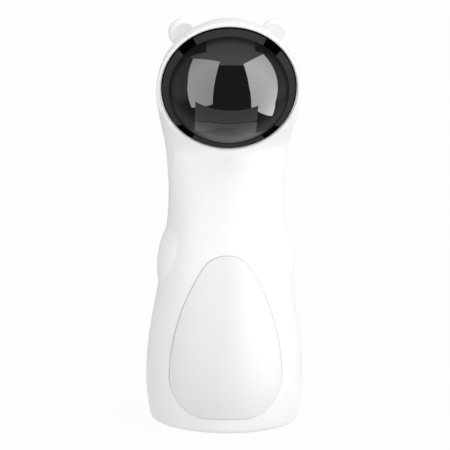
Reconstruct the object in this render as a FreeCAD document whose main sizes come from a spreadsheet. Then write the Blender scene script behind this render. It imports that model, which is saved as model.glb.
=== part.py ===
"""An automatic laser toy for cats: a smoked dome in the head of a small figure covers a laser on a turntable.

Millimetres. +Z is up, the face looks towards -Y, and the origin is the middle of the footprint on the floor.
Pieces in the head are drawn in the face's own frame: its origin is the centre of the face, z comes straight
out of the face, y runs up it and x across it.
"""
import FreeCAD
import Part
import Sketcher
import math
import os
import re

SIZES = {
    # Overall form, front to back and side to side, at the heights where the outline changes.
    "foot_high": 0.6, "foot_wide": 42.3, "foot_front": 43.2, "foot_back": 42.6,
    "heel_high": 12.0, "heel_wide": 43.6, "heel_front": 44.2, "heel_back": 43.8,
    "hip_high": 28.0, "hip_wide": 44.6, "hip_front": 44.6, "hip_back": 44.6,
    "waist_high": 50.0, "waist_wide": 43.1, "waist_front": 42.5, "waist_back": 43.0,
    "rib_high": 75.0, "rib_wide": 39.0, "rib_front": 37.5, "rib_back": 40.0,
    "chest_high": 100.0, "chest_wide": 35.4, "chest_front": 31.0, "chest_back": 36.0,
    "shoulder_high": 125.0, "shoulder_wide": 33.0, "shoulder_front": 22.5, "shoulder_back": 32.6,
    "throat_high": 144.0, "throat_wide": 33.5, "throat_front": 16.4, "throat_back": 31.2,
    "chin_high": 158.7, "chin_wide": 35.2, "chin_front": 12.0, "chin_back": 30.6,
    "cheek_high": 170.0, "cheek_wide": 37.5, "cheek_front": 24.7, "cheek_back": 30.5,
    "temple_high": 184.0, "temple_wide": 40.2, "temple_front": 45.2, "temple_back": 30.2,
    "head_high": 199.0, "head_forward": 22.0, "head_wide": 41.4, "head_deep": 50.0, "head_tall": 40.7,
    "crown_lean": 7.0, "crown_trim": 0.07,
    # Shell.
    "wall": 2.4, "seam": 0.12, "base_ring": 5.4, "base_round": 3.6,
    "plate_radius": 35.5, "plate_gap": 0.15, "ledge_radius": 33.5, "plate_high": 1.2, "plate_thick": 2.6,
    # Face and dome.
    "face_tilt": 14.0, "rim_radius": 38.5, "seat_gap": 0.15, "lip_radius": 39.9, "lip_round": 1.0,
    "flange": 2.2, "dome_high": 23.0, "dome_foot": 3.0, "dome_foot_radius": 34.6, "dome_wall": 1.8,
    "rim_edge": 0.5, "mask_thick": 1.1, "mask_gap": 0.05, "mask_bore": 24.0, "shelf_thick": 2.2,
    # Ears and arms.
    "ear_radius": 8.5, "ear_deep": 5.0, "ear_apart": 26.2, "ear_forward": 12.0, "ear_high": 228.8,
    "dish_radius": 10.2, "dish_deep": 3.3, "dish_inward": 1.6, "dish_down": 0.2, "dish_forward": 6.0,
    "arm_apart": 10.0, "arm_high": 89.5, "arm_wide": 29.2, "arm_deep": 23.7, "arm_tall": 39.5,
    # Belly panel, an egg with a flat foot.
    "egg_foot": 9.6, "egg_foot_half": 10.0, "egg_corner": 22.3, "egg_side": 122.0, "egg_top": 102.6,
    "egg_tip": 16.0, "egg_gap": 0.1, "panel_rise": 0.8, "panel_sink": 1.3, "panel_glue": 0.05,
    "panel_round": 0.75,
    # Mechanism frame.
    "post_reach": 18.74, "post_radius": 2.6, "frame_front": 17.6, "frame_thick": 2.4, "frame_corner": 3.4,
    "sleeve_radius": 4.0, "sleeve_bore": 2.4, "sleeve_front": 12.2, "running": 0.05, "end_play": 0.3,
    "clip_thick": 0.8, "clip_radius": 6.0, "groove_deep": 0.5,
    "pan_module": 0.6, "pan_teeth": 60, "pinion_teeth": 12, "mesh_gap": 0.15, "ring_thick": 2.0,
    "ring_back": 17.3, "hub_radius": 7.0, "hub_high": 1.1,
    "pan_motor_radius": 8.0, "pan_motor_long": 12.0, "pan_shaft": 0.75, "collar_wall": 1.6, "collar_deep": 4.0,
    # Laser cradle.
    "tilt_axis": 2.0, "barrel_radius": 3.0, "barrel_back": 4.5, "barrel_front": 6.5, "barrel_wall": 0.6,
    "cradle_half": 6.6, "cradle_tall": 4.6, "cradle_back": 4.2, "cradle_front": 1.8, "pin_radius": 1.0,
    "pin_inner": 3.7, "cheek_in": 7.4, "cheek_out": 9.4, "cheek_half": 3.0,
    "tilt_module": 0.5, "tilt_teeth": 24, "tilt_pinion_teeth": 10, "gear_in": 10.0, "gear_thick": 2.0,
    "tilt_slant": 50.0, "tilt_motor_radius": 3.0, "tilt_motor_in": 12.7, "tilt_motor_long": 7.6,
    "tilt_shaft": 0.5, "saddle_in": 13.0, "saddle_out": 15.6, "saddle_wall": 0.9,
    "driver_wide": 4.4, "driver_long": 5.2, "driver_thick": 0.8,
    # Electronics on the back wall.
    "board_half": 15.0, "board_low": 34.0, "board_top": 90.0, "board_front": 28.0, "board_thick": 1.6,
    "post_side": 11.5, "post_inset": 4.0, "board_post": 2.75,
    "socket_high": 44.0, "socket_wide": 9.0, "socket_tall": 3.3, "socket_end": 41.0, "socket_skin": 0.35,
    "plug_wide": 12.6, "plug_tall": 7.0, "plug_deep": 0.8,
    "button_high": 70.0, "button_radius": 6.0, "button_gap": 0.15, "button_rise": 0.6, "button_flange": 7.6,
    "collar_radius": 9.2, "collar_end": 35.6, "button_travel": 0.8, "button_plate": 1.2, "button_play": 0.2,
    "switch_wide": 6.0, "switch_tall": 3.5, "plunger_radius": 1.7, "plunger_in": 0.3,
    "lamp_below": 6.0, "lamp_radius": 1.5, "lamp_tall": 4.4, "guide_flange": 2.4,
    # Battery well and its door.
    "cell_radius": 7.25, "cell_long": 50.5, "cell_nub": 1.0, "cell_nub_radius": 2.7, "cell_pitch": 15.0,
    "well_half": 23.2, "well_deep": 8.0, "well_wall": 1.4, "well_top": 57.2,
    "door_half": 25.2, "door_front": 11.0, "door_thick": 1.9, "door_gap": 0.2, "door_low": 1.4,
    "hinge_back": 12.2, "hinge_high": 2.9, "knuckle": 1.5, "hinge_pin": 0.75, "frame_half": 28.8,
    "frame_back": 16.2, "frame_ahead": 14.0, "frame_top": 5.8, "pin_end": 28.4,
    "contact_thick": 0.3, "spring_radius": 2.9, "spring_wire": 0.35, "spring_turns": 3,
    # Screws and feet.
    "case_low": 30.0, "case_low_side": 31.0, "case_top": 134.0, "case_top_side": 19.0, "case_boss": 3.6,
    "screw_radius": 1.3, "screw_head": 2.6, "screw_head_tall": 1.7, "screw_long": 12.0, "screw_seat": 6.0,
    "small_screw": 1.0, "small_head": 1.9, "small_head_tall": 1.3, "small_long": 5.0,
    "base_screw_side": 13.0, "base_screw_back": 28.2, "base_boss_top": 15.0,
    "foot_radius": 4.5, "foot_side": 22.0, "foot_deep": 18.5, "foot_sunk": 0.8, "fit": 0.1,
}

doc = FreeCAD.newDocument("laser_toy")
sheet = doc.addObject("Spreadsheet::Sheet", "sizes")
for row, (alias, number) in enumerate(SIZES.items(), start=1):
    sheet.set(f"A{row}", alias.replace("_", " "))
    sheet.set(f"B{row}", str(number))
    sheet.setAlias(f"B{row}", alias)
doc.recompute()

FAR = 300
PARTS = {}


def linked(formula):
    """The same formula with the name of each size pointing at its cell in the sheet."""
    return re.sub(r"[a-z][a-z_]*", lambda m: "sizes." + m[0] if m[0] in SIZES else m[0], str(formula))


def value(formula):
    """What a formula comes to, in millimetres or degrees."""
    return float(sheet.evalExpression(linked(formula)))


def tie(thing, **formulas):
    """Binds properties of a document object to formulas on the sheet."""
    for name, formula in formulas.items():
        thing.setExpression(name, linked(formula))
    return thing


def put(thing, x=0, y=0, z=0):
    """Places a document object at a point given by formulas."""
    for axis, formula in zip("xyz", (x, y, z)):
        thing.setExpression("Placement.Base." + axis, linked(formula))
    return thing


def turn(thing, angle, about):
    """Turns a document object by an angle, in degrees, about a direction through its own origin."""
    thing.Placement = FreeCAD.Placement(thing.Placement.Base, FreeCAD.Rotation(FreeCAD.Vector(*about), 1))
    thing.setExpression("Placement.Rotation.Angle", linked(angle))
    return thing


def block(x, y, z):
    """A box between pairs of formulas, one pair for each axis."""
    box = doc.addObject("Part::Box", "Block")
    tie(box, Length=f"({x[1]}) - ({x[0]})", Width=f"({y[1]}) - ({y[0]})", Height=f"({z[1]}) - ({z[0]})")
    return put(box, x[0], y[0], z[0])


def rod(radius, start, end, x=0, y=0, z=0, way="z"):
    """A cylinder along an axis from start to end; x, y and z place its axis."""
    cylinder = doc.addObject("Part::Cylinder", "Rod")
    tie(cylinder, Radius=radius, Height=f"({end}) - ({start})")
    where = {"x": x, "y": y, "z": z}
    where[way] = start
    put(cylinder, **where)
    if way == "x":
        turn(cylinder, 90, (0, 1, 0))
    if way == "y":
        turn(cylinder, 90, (-1, 0, 0))
    return cylinder


def tube(outer, inner, start, end, **where):
    """A cylinder with a bore."""
    return cut(rod(outer, start, end, **where), rod(inner, f"({start}) - 1", f"({end}) + 1", **where))


def egg_ball(x, y, z, wide, deep, tall):
    """An ellipsoid with its three half sizes along X, Y and Z."""
    ball = doc.addObject("Part::Ellipsoid", "Ball")
    tie(ball, Radius1=tall, Radius2=wide, Radius3=deep)
    return put(ball, x, y, z)


def join(*things):
    """One solid made of several."""
    fuse = doc.addObject("Part::MultiFuse", "Join")
    fuse.Shapes = list(things)
    fuse.Refine = False
    return fuse


def overlap(*things):
    """What several solids share."""
    common = doc.addObject("Part::MultiCommon", "Overlap")
    common.Shapes = list(things)
    common.Refine = False
    return common


def cut(base, *tools):
    """A solid with others taken out of it."""
    for tool in tools:
        less = doc.addObject("Part::Cut", "Cut")
        less.Base = base
        less.Tool = tool
        less.Refine = False
        base = less
    return base


def group(*things):
    """Separate solids of one node."""
    compound = doc.addObject("Part::Compound", "Group")
    compound.Links = list(things)
    return compound


def part(node, thing):
    """Names a finished sub-part."""
    thing.Label = node
    PARTS[node] = thing
    return thing


def in_face(thing):
    """Stands a piece that was drawn in the frame of the face where the face is."""
    whole = turn(group(thing), "90 + face_tilt", (1, 0, 0))
    return put(whole, 0, "-head_forward", "head_high")


def face_part(node, thing):
    """Names a finished sub-part drawn in the frame of the face, and puts it there."""
    return part(node, in_face(thing))


def turned(name, points):
    """A PartDesign body: a closed profile of (radius, height) points, turned about Z."""
    body = doc.addObject("PartDesign::Body", name)
    sketch = body.newObject("Sketcher::SketchObject", "Profile")
    plane = [p for p in body.Origin.OriginFeatures if p.Role == "XZ_Plane"][0]
    sketch.AttachmentSupport = [(plane, "")]
    sketch.MapMode = "FlatFace"
    outline(sketch, points)
    spin = body.newObject("PartDesign::Revolution", "Turned")
    spin.Profile = sketch
    spin.ReferenceAxis = (sketch, ["V_Axis"])
    spin.Angle = 360
    return body


def outline(sketch, points):
    """A closed run of straight lines in a sketch, each corner bound to its two formulas."""
    corners = [FreeCAD.Vector(value(x), value(y), 0) for x, y in points]
    for start, end in zip(corners, corners[1:] + corners[:1]):
        sketch.addGeometry(Part.LineSegment(start, end), False)
    count = len(points)
    for i in range(count):
        sketch.addConstraint(Sketcher.Constraint("Coincident", i, 2, (i + 1) % count, 1))
    for i, formulas in enumerate(points):
        bind_point(sketch, i, 1, formulas)


def bind_point(sketch, edge, end, formulas):
    """Binds one point of a sketch to two formulas; one that is zero lies on the axis."""
    for kind, axis, formula in (("DistanceX", -2, formulas[0]), ("DistanceY", -1, formulas[1])):
        number = value(formula)
        if abs(number) < 1e-9:
            sketch.addConstraint(Sketcher.Constraint("PointOnObject", edge, end, axis))
            continue
        index = sketch.addConstraint(Sketcher.Constraint(kind, -1, 1, edge, end, number))
        sketch.setExpression(f"Constraints[{index}]", linked(formula))


# ---- Outer form ----------------------------------------------------------------------------------------
# One smooth skin from the foot to the crown. Each level is an ellipse; above the middle of the head the
# levels follow an ellipsoid that leans forward as it rises.

LEVELS = ("heel", "hip", "waist", "rib", "chest", "shoulder", "throat", "chin", "cheek", "temple")
FOOT_ANGLES = (90, 60, 30, 0)
CROWN_ANGLES = (0, 20, 40, 58, 72, 82, 90)


def levels(grow):
    """Half width, half depth, middle and height of the skin's levels, grown by a length, foot to crown."""
    found = []
    for angle in FOOT_ANGLES:
        inset = value("base_round") * (1 - math.cos(math.radians(angle))) - grow
        high = value("foot_high") + value("base_round") * (1 - math.sin(math.radians(angle)))
        deep = (value("foot_front") + value("foot_back")) / 2
        middle = (value("foot_back") - value("foot_front")) / 2
        found.append((value("foot_wide") - inset, deep - inset, middle, high))
    for stage in LEVELS:
        front = value(stage + "_front")
        back = value(stage + "_back")
        wide = value(stage + "_wide")
        found.append((wide + grow, (front + back) / 2 + grow, (back - front) / 2, value(stage + "_high")))
    for angle in CROWN_ANGLES:
        across = math.cos(math.radians(angle))
        up = math.sin(math.radians(angle))
        middle = -value("head_forward") - value("crown_lean") * up
        high = value("head_high") + (value("head_tall") + grow) * up
        wide = (value("head_wide") * (1 - value("crown_trim") * up ** 2) + grow) * across
        found.append((wide, (value("head_deep") + grow) * across, middle, high))
    return found


def skin(name, rise):
    """The outer form as a solid, grown or shrunk by a formula: ellipses blended upwards by a cubic spline."""
    stages = levels(value(rise))
    steps = [0]
    for lower, upper in zip(stages, stages[1:]):
        steps.append(steps[-1] + math.dist(lower, upper))
    widths = Part.BSplineCurve()
    widths.interpolate(Points=[FreeCAD.Vector(*stage[:3]) for stage in stages], Parameters=steps)
    heights = Part.BSplineCurve()
    heights.interpolate(Points=[FreeCAD.Vector(stage[3], 0, 0) for stage in stages], Parameters=steps)
    poles = []
    weights = []
    for corner in range(9):
        angle = math.pi / 2 + corner * math.pi / 4
        reach = math.sqrt(2) if corner % 2 else 1
        across = reach * math.cos(angle)
        along = reach * math.sin(angle)
        poles.append([FreeCAD.Vector(w.x * across, w.z + w.y * along, h.x)
                      for w, h in zip(widths.getPoles(), heights.getPoles())])
        weights.append([1 / reach] * len(poles[0]))
    surface = Part.BSplineSurface()
    surface.buildFromPolesMultsKnots(poles, [3, 2, 2, 2, 3], widths.getMultiplicities(), [0, 1, 2, 3, 4],
                                     widths.getKnots(), False, False, 2, widths.Degree, weights)
    side = surface.toShape()
    rim = [edge for edge in side.Edges if edge.BoundBox.ZMax < value("foot_high") + 0.01]
    solid = Part.Solid(Part.Shell([side, Part.Face(Part.Wire(rim))]))
    solid.fix(1e-4, 1e-5, 1e-3)
    body = doc.addObject("Part::Feature", name)
    body.Shape = solid
    return body


form = skin("Form", "0")
hollow_form = skin("HollowForm", "-wall")
raised_form = skin("RaisedForm", "panel_rise")
sunk_form = skin("SunkForm", "-panel_sink")
glued_form = skin("GluedForm", "panel_glue - panel_sink")

arms = [egg_ball(f"{side}*arm_apart", 0, "arm_high", "arm_wide", "arm_deep", "arm_tall") for side in (-1, 1)]
ears = [egg_ball(f"{side}*ear_apart", "-ear_forward", "ear_high", "ear_radius", "ear_deep", "ear_radius")
        for side in (-1, 1)]
dishes = [egg_ball(f"{side}*(ear_apart - dish_inward)", "-ear_forward - dish_forward", "ear_high - dish_down",
                   "dish_radius", "dish_deep", "dish_radius") for side in (-1, 1)]

face_cut = in_face(block(("-head_wide - 10", "head_wide + 10"), ("-head_wide", "head_wide + 20"), (0, 80)))
lip = doc.addObject("Part::Torus", "Lip")
tie(lip, Radius1="lip_radius", Radius2="lip_round")
lip = in_face(lip)

hollow_ears = [cut(ear, dish) for ear, dish in zip(ears, dishes)]
outer = join(join(cut(join(form, *arms), face_cut), *hollow_ears), lip)
cavity = overlap(hollow_form, block((-FAR, FAR), (-FAR, FAR), ("base_ring + foot_high", FAR)))
face_back = "-flange - mask_gap*2 - mask_thick - shelf_thick"
shelf = overlap(outer, in_face(block(("-head_wide - 10", "head_wide + 10"), ("-head_wide*0.95", "head_wide + 10"),
                                     (face_back, 0))))
seat = in_face(rod("rim_radius + seat_gap", "-flange - mask_gap*2 - mask_thick", 20))
throat = in_face(rod("mask_bore", -8, 20))
openings = [rod("plate_radius", -1, "plate_high + plate_thick + fit"), rod("ledge_radius", -1, "base_ring + 3")]
casing = cut(join(cut(outer, cavity), shelf), seat, throat, *openings)

# ---- Belly panel ---------------------------------------------------------------------------------------
# An egg-shaped plate glued into a shallow recess of the front. Its outline is a flat foot, two corner arcs,
# two long side arcs and a small tip arc, each tangent to the next.


def egg(name, grow):
    """A PartDesign pad of the egg outline, grown by a formula, running through the front of the body."""
    corner = value("egg_corner") + value(grow)
    side = value("egg_side") + value(grow)
    tip = value("egg_tip") + value(grow)
    low = value("egg_foot") - value(grow)
    half = value("egg_foot_half")
    corner_at = FreeCAD.Vector(half, low + corner, 0)
    tip_at = FreeCAD.Vector(0, value("egg_top") + value(grow) - tip, 0)
    side_at = side_centre(corner_at, side - corner, tip_at, side - tip)
    to_corner = (corner_at - side_at).normalize()
    to_tip = (tip_at - side_at).normalize()
    knee = side_at + to_corner * side
    neck = side_at + to_tip * side
    waist = side_at + (to_corner + to_tip).normalize() * side
    heel = corner_at + (to_corner + FreeCAD.Vector(0, -1, 0)).normalize() * corner
    flip = FreeCAD.Matrix()
    flip.A11 = -1
    foot = FreeCAD.Vector(half, low, 0)
    right = [Part.Arc(foot, heel, knee), Part.Arc(knee, waist, neck)]
    left = [Part.Arc(flip * foot, flip * heel, flip * knee), Part.Arc(flip * knee, flip * waist, flip * neck)]
    top = tip_at + FreeCAD.Vector(0, tip, 0)
    edges = right + [Part.Arc(neck, top, flip * neck)] + left[::-1] + [Part.LineSegment(flip * foot, foot)]
    wire = Part.Wire([edge.toShape() for edge in edges])
    wire.rotate(FreeCAD.Vector(0, 0, 0), FreeCAD.Vector(1, 0, 0), 90)
    prism = doc.addObject("Part::Feature", name)
    prism.Shape = Part.Face(wire).extrude(FreeCAD.Vector(0, -60, 0))
    return prism


def side_centre(corner, corner_reach, tip, tip_reach):
    """The centre of the long side arc: it lies at one distance from each of two other centres."""
    between = tip - corner
    apart = between.Length
    along = (corner_reach ** 2 - tip_reach ** 2 + apart ** 2) / (2 * apart)
    off = math.sqrt(corner_reach ** 2 - along ** 2)
    step = between * (1 / apart)
    return corner + step * along + FreeCAD.Vector(-step.y, step.x, 0) * off


panel_blank = cut(overlap(raised_form, egg("Egg", "-egg_gap")), glued_form)
doc.recompute()
curved = [face for face in panel_blank.Shape.Faces if face.Surface.TypeId == "Part::GeomBSplineSurface"]
outside = min(curved, key=lambda face: face.CenterOfMass.y)
rounded = doc.addObject("Part::Fillet", "RoundedEdge")
rounded.Base = panel_blank
rounded.Edges = [(number, value("panel_round"), value("panel_round"))
                 for number, edge in enumerate(panel_blank.Shape.Edges, start=1)
                 if any(edge.isSame(border) for border in outside.Edges)]
part("belly_panel", rounded)
recess = cut(egg("EggRecess", "0"), sunk_form)

# ---- Front and rear shells -----------------------------------------------------------------------------
# The casing parts on the plane through both sides. Screws from behind draw the rear shell to bosses in
# the front one. The front carries the posts for the mechanism, the rear those for the circuit board.

front_half = block((-FAR, FAR), (-FAR, "-seam/2"), (-1, FAR))
rear_half = block((-FAR, FAR), ("seam/2", FAR), (-1, FAR))
case_screws = [(side, end) for end in ("low", "top") for side in (-1, 1)]


def case_at(side, end):
    """Where a case screw's axis passes: x and z formulas."""
    return {"x": f"{side}*case_{end}_side", "z": f"case_{end}"}


front_bosses = [overlap(rod("case_boss", -50, "-seam/2", way="y", **case_at(*s)), form) for s in case_screws]
front_holes = [rod("screw_radius + fit", "-screw_long + screw_seat - 1", 1, way="y", **case_at(*s))
               for s in case_screws]
rear_bosses = [overlap(rod("case_boss", "seam/2", 50, way="y", **case_at(*s)), form) for s in case_screws]
rear_holes = [rod("screw_radius + fit", -1, 50, way="y", **case_at(*s)) for s in case_screws]
rear_wells = [rod("screw_head + 0.25", "screw_seat", 60, way="y", **case_at(*s)) for s in case_screws]


def base_boss(side, way, hole):
    """A boss for one base screw, or the hole in it."""
    where = {"x": f"{side}*base_screw_side", "y": f"{way}*base_screw_back"}
    if hole:
        return rod("screw_radius + fit", 0, "base_boss_top - 2", **where)
    return rod("case_boss", "plate_high + plate_thick + fit", "base_boss_top", **where)


def base_bosses(way):
    """The two bosses for base screws on one side of the parting plane, each tied to the wall by a rib."""
    bosses = [base_boss(side, way, False) for side in (-1, 1)]
    ribs = [block((f"{side}*base_screw_side - 1", f"{side}*base_screw_side + 1"),
                  ("base_screw_back", 60) if way > 0 else (-60, "-base_screw_back"),
                  ("plate_high + plate_thick + fit", "base_boss_top")) for side in (-1, 1)]
    return [overlap(form, join(*bosses, *ribs))]


def post_at(across, up):
    """Where a mechanism post stands on the face."""
    return {"x": f"{across}*post_reach", "y": f"{up}*post_reach"}


POSTS = [(across, up) for across in (-1, 1) for up in (-1, 1)]
posts = [in_face(rod("post_radius", "-frame_front", face_back, **post_at(*p))) for p in POSTS]
post_holes = [in_face(rod("small_screw - 0.15", "-frame_front - 1", "small_long - frame_front", **post_at(*p)))
              for p in POSTS]
front = cut(join(overlap(casing, front_half), *front_bosses, *base_bosses(-1), *posts), recess)
part("front_shell", cut(front, *front_holes, *post_holes, *[base_boss(s, -1, True) for s in (-1, 1)]))

BOARD_POSTS = [(side, end) for side in (-1, 1) for end in ("low", "top")]


def board_post_at(side, end):
    """Where a circuit board post stands: x and z formulas."""
    inset = "board_low + post_inset" if end == "low" else "board_top - post_inset"
    return {"x": f"{side}*post_side", "z": inset}


board_back = "board_front + board_thick"
board_posts = [overlap(rod("board_post", board_back, 60, way="y", **board_post_at(*p)), form)
               for p in BOARD_POSTS]
board_holes = [rod("small_screw - 0.15", f"{board_back} - 1", f"{board_back} + small_long", way="y",
                   **board_post_at(*p)) for p in BOARD_POSTS]
button_collar = overlap(rod("collar_radius", "collar_end", 60, z="button_high", way="y"), form)
button_hole = rod("button_radius + button_gap", 20, 60, z="button_high", way="y")
lamp_high = "board_top - lamp_below"
lamp_hole = rod("lamp_radius + 0.05", 20, 60, z=lamp_high, way="y")
socket_hole = block(("-socket_wide/2 - fit", "socket_wide/2 + fit"), ("socket_end - 5", 60),
                    ("socket_high - socket_tall/2 - fit", "socket_high + socket_tall/2 + fit"))
plug_recess = block(("-plug_wide/2", "plug_wide/2"), ("waist_back - plug_deep", 60),
                    ("socket_high - plug_tall/2", "socket_high + plug_tall/2"))
rear = join(overlap(casing, rear_half), *rear_bosses, *base_bosses(1), *board_posts, button_collar)
part("rear_shell", cut(rear, *rear_holes, *rear_wells, *board_holes, button_hole, lamp_hole, socket_hole,
                       plug_recess, *[base_boss(s, 1, True) for s in (-1, 1)]))

# ---- Dome and mask -------------------------------------------------------------------------------------
# The smoked dome is turned: a flat flange, a shallow sloping rim and a spherical cap. It is glued into the
# seat of the front shell, over a black mask that hides the shelf.


def cap_radius(half, rise):
    """The radius of a spherical cap from its half width and its rise."""
    return (half ** 2 + rise ** 2) / (2 * rise)


def dome_profile(body, less):
    """The dome's outer outline, or with a wall taken off its inner one, as a sketch in the body."""
    sketch = body.newObject("Sketcher::SketchObject", "Outline")
    plane = [p for p in body.Origin.OriginFeatures if p.Role == "XZ_Plane"][0]
    sketch.AttachmentSupport = [(plane, "")]
    sketch.MapMode = "FlatFace"
    half = value("dome_foot_radius") - less
    foot = value("dome_foot") - less * 0.6
    top = value("dome_high") - less
    radius = cap_radius(half, top - foot)
    middle = top - radius
    lean = math.asin(half / radius)
    if less:
        edge = [(half, -value("flange") - 1), (0, -value("flange") - 1)]
    else:
        edge = [(value("rim_radius"), value("rim_edge")), (value("rim_radius"), -value("flange")),
                (0, -value("flange"))]
    corners = [FreeCAD.Vector(x, y, 0) for x, y in [(half, foot)] + edge + [(0, top)]]
    for start, end in zip(corners, corners[1:]):
        sketch.addGeometry(Part.LineSegment(start, end), False)
    circle = Part.Circle(FreeCAD.Vector(0, middle, 0), FreeCAD.Vector(0, 0, 1), radius)
    sketch.addGeometry(Part.ArcOfCircle(circle, math.pi / 2 - lean, math.pi / 2), False)
    last = len(corners) - 1
    for i in range(last - 1):
        sketch.addConstraint(Sketcher.Constraint("Coincident", i, 2, i + 1, 1))
    sketch.addConstraint(Sketcher.Constraint("Coincident", last - 1, 2, last, 2))
    sketch.addConstraint(Sketcher.Constraint("Coincident", last, 1, 0, 1))
    return sketch


dome_body = doc.addObject("PartDesign::Body", "Dome")
dome_spin = dome_body.newObject("PartDesign::Revolution", "DomeOutside")
dome_spin.Profile = dome_profile(dome_body, 0)
dome_spin.ReferenceAxis = (dome_spin.Profile[0], ["V_Axis"])
dome_spin.Angle = 360
dome_hollow = dome_body.newObject("PartDesign::Groove", "DomeInside")
dome_hollow.Profile = dome_profile(dome_body, value("dome_wall"))
dome_hollow.ReferenceAxis = (dome_hollow.Profile[0], ["V_Axis"])
dome_hollow.Angle = 360
face_part("dome_cover", dome_body)

mask_front = "-flange - mask_gap"
mask_back = f"{mask_front} - mask_thick"
face_part("dome_mask", turned("Mask", [
    ("mask_bore - 1.2", mask_back), ("rim_radius - fit", mask_back), ("rim_radius - fit", mask_front),
    ("mask_bore + 1", mask_front), ("mask_bore - 1.2", f"{mask_front} + 0.8"), ]))

# ---- Mechanism frame -----------------------------------------------------------------------------------
# A plate on the four posts, with a hollow sleeve that the turntable runs on and a collar for the motor.

frame_back = "-frame_front - frame_thick"
pan_reach = "pan_module*(pan_teeth + pinion_teeth)/2 + mesh_gap"
motor_at = {"y": f"-({pan_reach})"}
plate = join(*[rod("frame_corner", frame_back, "-frame_front", **post_at(*p)) for p in POSTS],
             block(("-post_reach", "post_reach"), ("-post_reach - frame_corner", "post_reach + frame_corner"),
                   (frame_back, "-frame_front")),
             block(("-post_reach - frame_corner", "post_reach + frame_corner"), ("-post_reach", "post_reach"),
                   (frame_back, "-frame_front")))
motor_seat = rod("pan_motor_radius + collar_wall", f"{frame_back} - collar_deep", frame_back, **motor_at)
motor_pad = rod("pan_motor_radius + collar_wall", frame_back, "-frame_front", **motor_at)
sleeve = rod("sleeve_radius", frame_back, "-sleeve_front")
clip_back = "-ring_back + ring_thick + hub_high + end_play"
clip_groove = tube("sleeve_radius + 1", "sleeve_radius - groove_deep", clip_back, f"{clip_back} + clip_thick + fit")
frame_solid = cut(join(plate, motor_seat, motor_pad, sleeve),
                  rod("pan_motor_radius + running", f"{frame_back} - collar_deep - 1", frame_back, **motor_at),
                  rod("pan_shaft + 0.8", -60, 0, **motor_at), rod("sleeve_bore", -60, 0), clip_groove,
                  *[rod("small_screw + fit", -60, 0, **post_at(*p)) for p in POSTS])
face_part("mechanism_frame", frame_solid)


def screws(radius, head, head_tall, seat, end, places, way):
    """Pan-head screws: head out of the seat, shank to the end, a cross in each head."""
    solids = []
    out = 1 if value(f"({seat}) - ({end})") > 0 else -1
    for place in places:
        top = f"({seat}) + {out}*({head_tall})"
        low, high = (seat, top) if out > 0 else (top, seat)
        cap = rod(head, low, high, way=way, **place)
        low, high = (end, seat) if out > 0 else (seat, end)
        shank = rod(radius, low, high, way=way, **place)
        deep = f"({top}) - {out}*({head_tall})*0.5"
        span = (deep, f"({top}) + 1") if out > 0 else (f"({top}) - 1", deep)
        solids.append(cut(join(cap, shank), *cross(head, span, place, way)))
    return group(*solids)


def cross(head, span, place, way):
    """The two slots of a cross recess."""
    slots = []
    others = [axis for axis in "xyz" if axis != way]
    for long_axis in others:
        sides = {way: span}
        for axis in others:
            middle = place.get(axis, 0)
            half = f"{head}*0.62" if axis == long_axis else f"{head}*0.14"
            sides[axis] = (f"({middle}) - {half}", f"({middle}) + {half}")
        slots.append(block(sides["x"], sides["y"], sides["z"]))
    return slots


face_part("frame_screws", screws("small_screw - 0.15", "small_head", "small_head_tall", frame_back,
                                 "-frame_front + small_long - 1", [post_at(*p) for p in POSTS], "z"))
face_part("sleeve_clip", cut(
    tube("clip_radius", "sleeve_radius - groove_deep + 0.05", clip_back, f"{clip_back} + clip_thick"),
    block((0, 20), ("-sleeve_radius*0.7", "sleeve_radius*0.7"), (-60, 0))))

# ---- Pan drive: motor, pinion and turntable ------------------------------------------------------------


def gear_solid(name, module, teeth, angle, low, high):
    """A spur gear as a solid, one tooth centred on the angle, each flank an arc along its involute."""
    count = int(value(teeth))
    size = value(module)
    pitch = size * count / 2
    base = pitch * math.cos(math.radians(20))
    tip = pitch + size
    root = pitch - 1.25 * size
    lead = math.tan(math.radians(20)) - math.radians(20)
    half = math.pi / (2 * count) + lead

    def flank(radius):
        """Half the tooth's angle at a radius."""
        if radius <= base:
            return half
        lean = math.acos(base / radius)
        return half - (math.tan(lean) - lean)

    def spot(radius, at):
        return FreeCAD.Vector(radius * math.cos(at), radius * math.sin(at), 0)

    edges = []
    start = max(base, root)
    foot = flank(start)
    for tooth in range(count):
        middle = math.radians(value(angle)) + 2 * math.pi * tooth / count
        rise = [spot(r, middle - flank(r)) for r in (start, (start + tip) / 2, tip)]
        fall = [spot(r, middle + flank(r)) for r in (tip, (start + tip) / 2, start)]
        gap = middle + math.pi / count
        after = middle + 2 * math.pi / count - foot
        if root < start:
            edges.append(Part.LineSegment(spot(root, middle - foot), rise[0]))
        edges.append(Part.Arc(*rise))
        edges.append(Part.Arc(rise[2], spot(tip, middle), fall[0]))
        edges.append(Part.Arc(*fall))
        if root < start:
            edges.append(Part.LineSegment(fall[2], spot(root, middle + foot)))
        edges.append(Part.Arc(spot(root, middle + foot), spot(root, gap), spot(root, after)))
    wire = Part.Wire([edge.toShape() for edge in edges])
    wire.translate(FreeCAD.Vector(0, 0, value(low)))
    gear = doc.addObject("Part::Feature", name)
    gear.Shape = Part.Face(wire).extrude(FreeCAD.Vector(0, 0, value(high) - value(low)))
    return gear


ring_front = "-ring_back + ring_thick"
ring = gear_solid("PanRing", "pan_module", "pan_teeth", "-90", "-ring_back", ring_front)
hub = rod("hub_radius", "-ring_back", f"{ring_front} + hub_high")
pinion = gear_solid("PanPinion", "pan_module", "pinion_teeth", "90 + 180/pinion_teeth", "-ring_back", ring_front)
put(pinion, 0, f"-({pan_reach})", 0)
face_part("pan_pinion", cut(pinion, rod("pan_shaft + 0.02", -60, 0, **motor_at)))
face_part("pan_motor_shaft", rod("pan_shaft", f"{frame_back} - pan_motor_long/2", f"{ring_front} + 0.1", **motor_at))

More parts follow.
